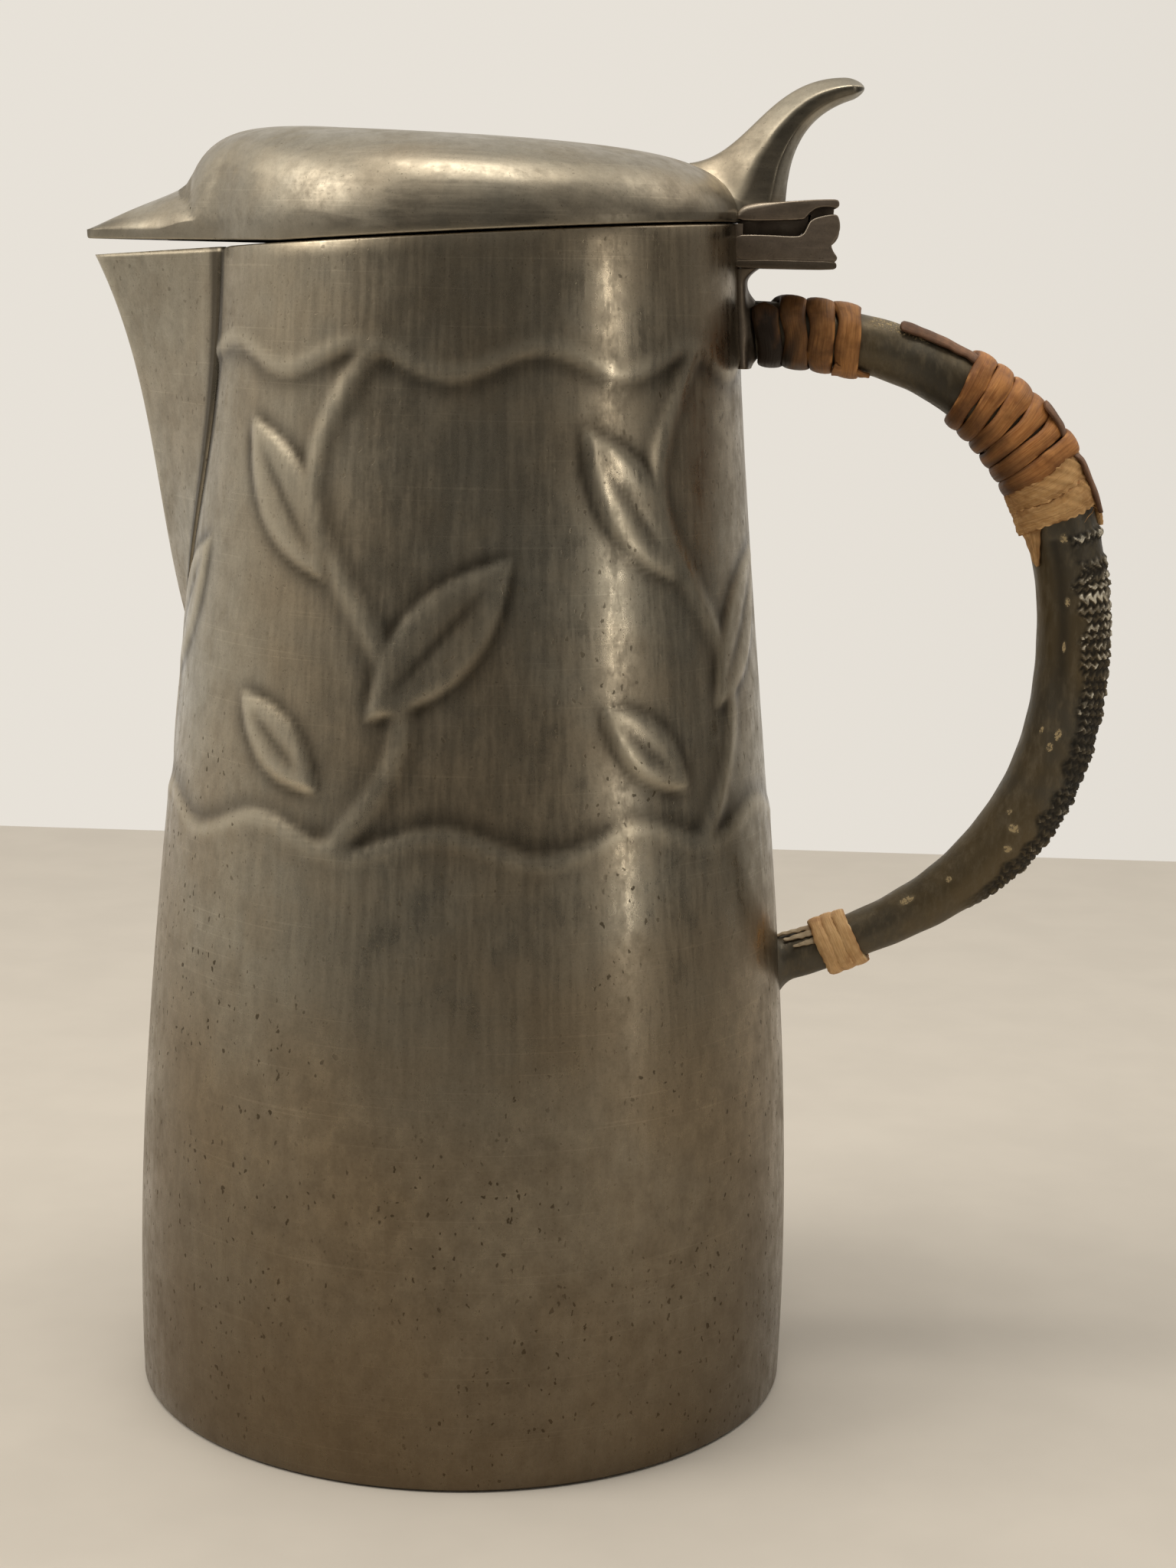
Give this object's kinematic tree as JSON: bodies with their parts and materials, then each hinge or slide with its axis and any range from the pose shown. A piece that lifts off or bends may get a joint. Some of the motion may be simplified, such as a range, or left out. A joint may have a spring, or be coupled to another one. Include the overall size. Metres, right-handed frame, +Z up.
{
  "type": "lidded flagon",
  "caption": "Tapered pewter flagon with a hinged domed lid, horn thumbpiece, beak spout and a C-shaped handle with worn cane windings.",
  "frame": {"origin": "centre of the flat face that the flagon rests on", "axes": "+Z up along the body's axis, +X towards the handle, -X towards the spout"},
  "size_m": [0.1784, 0.1166, 0.2295],
  "materials": {
    "pewter": "dull satin pewter with fine rub marks and dark pits",
    "hinge_metal": "tarnished cast pewter, darker than the body",
    "handle_metal": "dark oxidised cast metal with rasped burrs",
    "cane": "split cane, satin, worn",
    "dark_cane": "aged split cane, darkened",
    "fibre": "frayed pale cane fibre, matte"
  },
  "bodies": {
    "flagon": {"body_shell": "pewter", "base_plate": "pewter", "spout": "pewter", "hinge_body_leaf": "hinge_metal", "hinge_pin": "hinge_metal", "back_strap": "hinge_metal", "handle_core": "handle_metal", "upper_cane_wrap": "dark_cane", "upper_wrap_tail": "dark_cane", "top_cane_strip": "dark_cane", "middle_cane_wrap": "cane", "side_cane_strip": "dark_cane", "fibre_band": "fibre", "lower_cane_wrap": "cane", "lower_cane_strand": "cane"},
    "lid": {"lid": "pewter", "thumbpiece": "pewter", "hinge_lid_leaf": "hinge_metal"}
  },
  "joints": [
    {"name": "lid_hinge", "type": "hinge", "parent": "flagon", "child": "lid", "pos_m": [0.05857, 0, 0.20409], "axis": [0, 1, 0], "range_deg": [0, 105]}
  ]
}
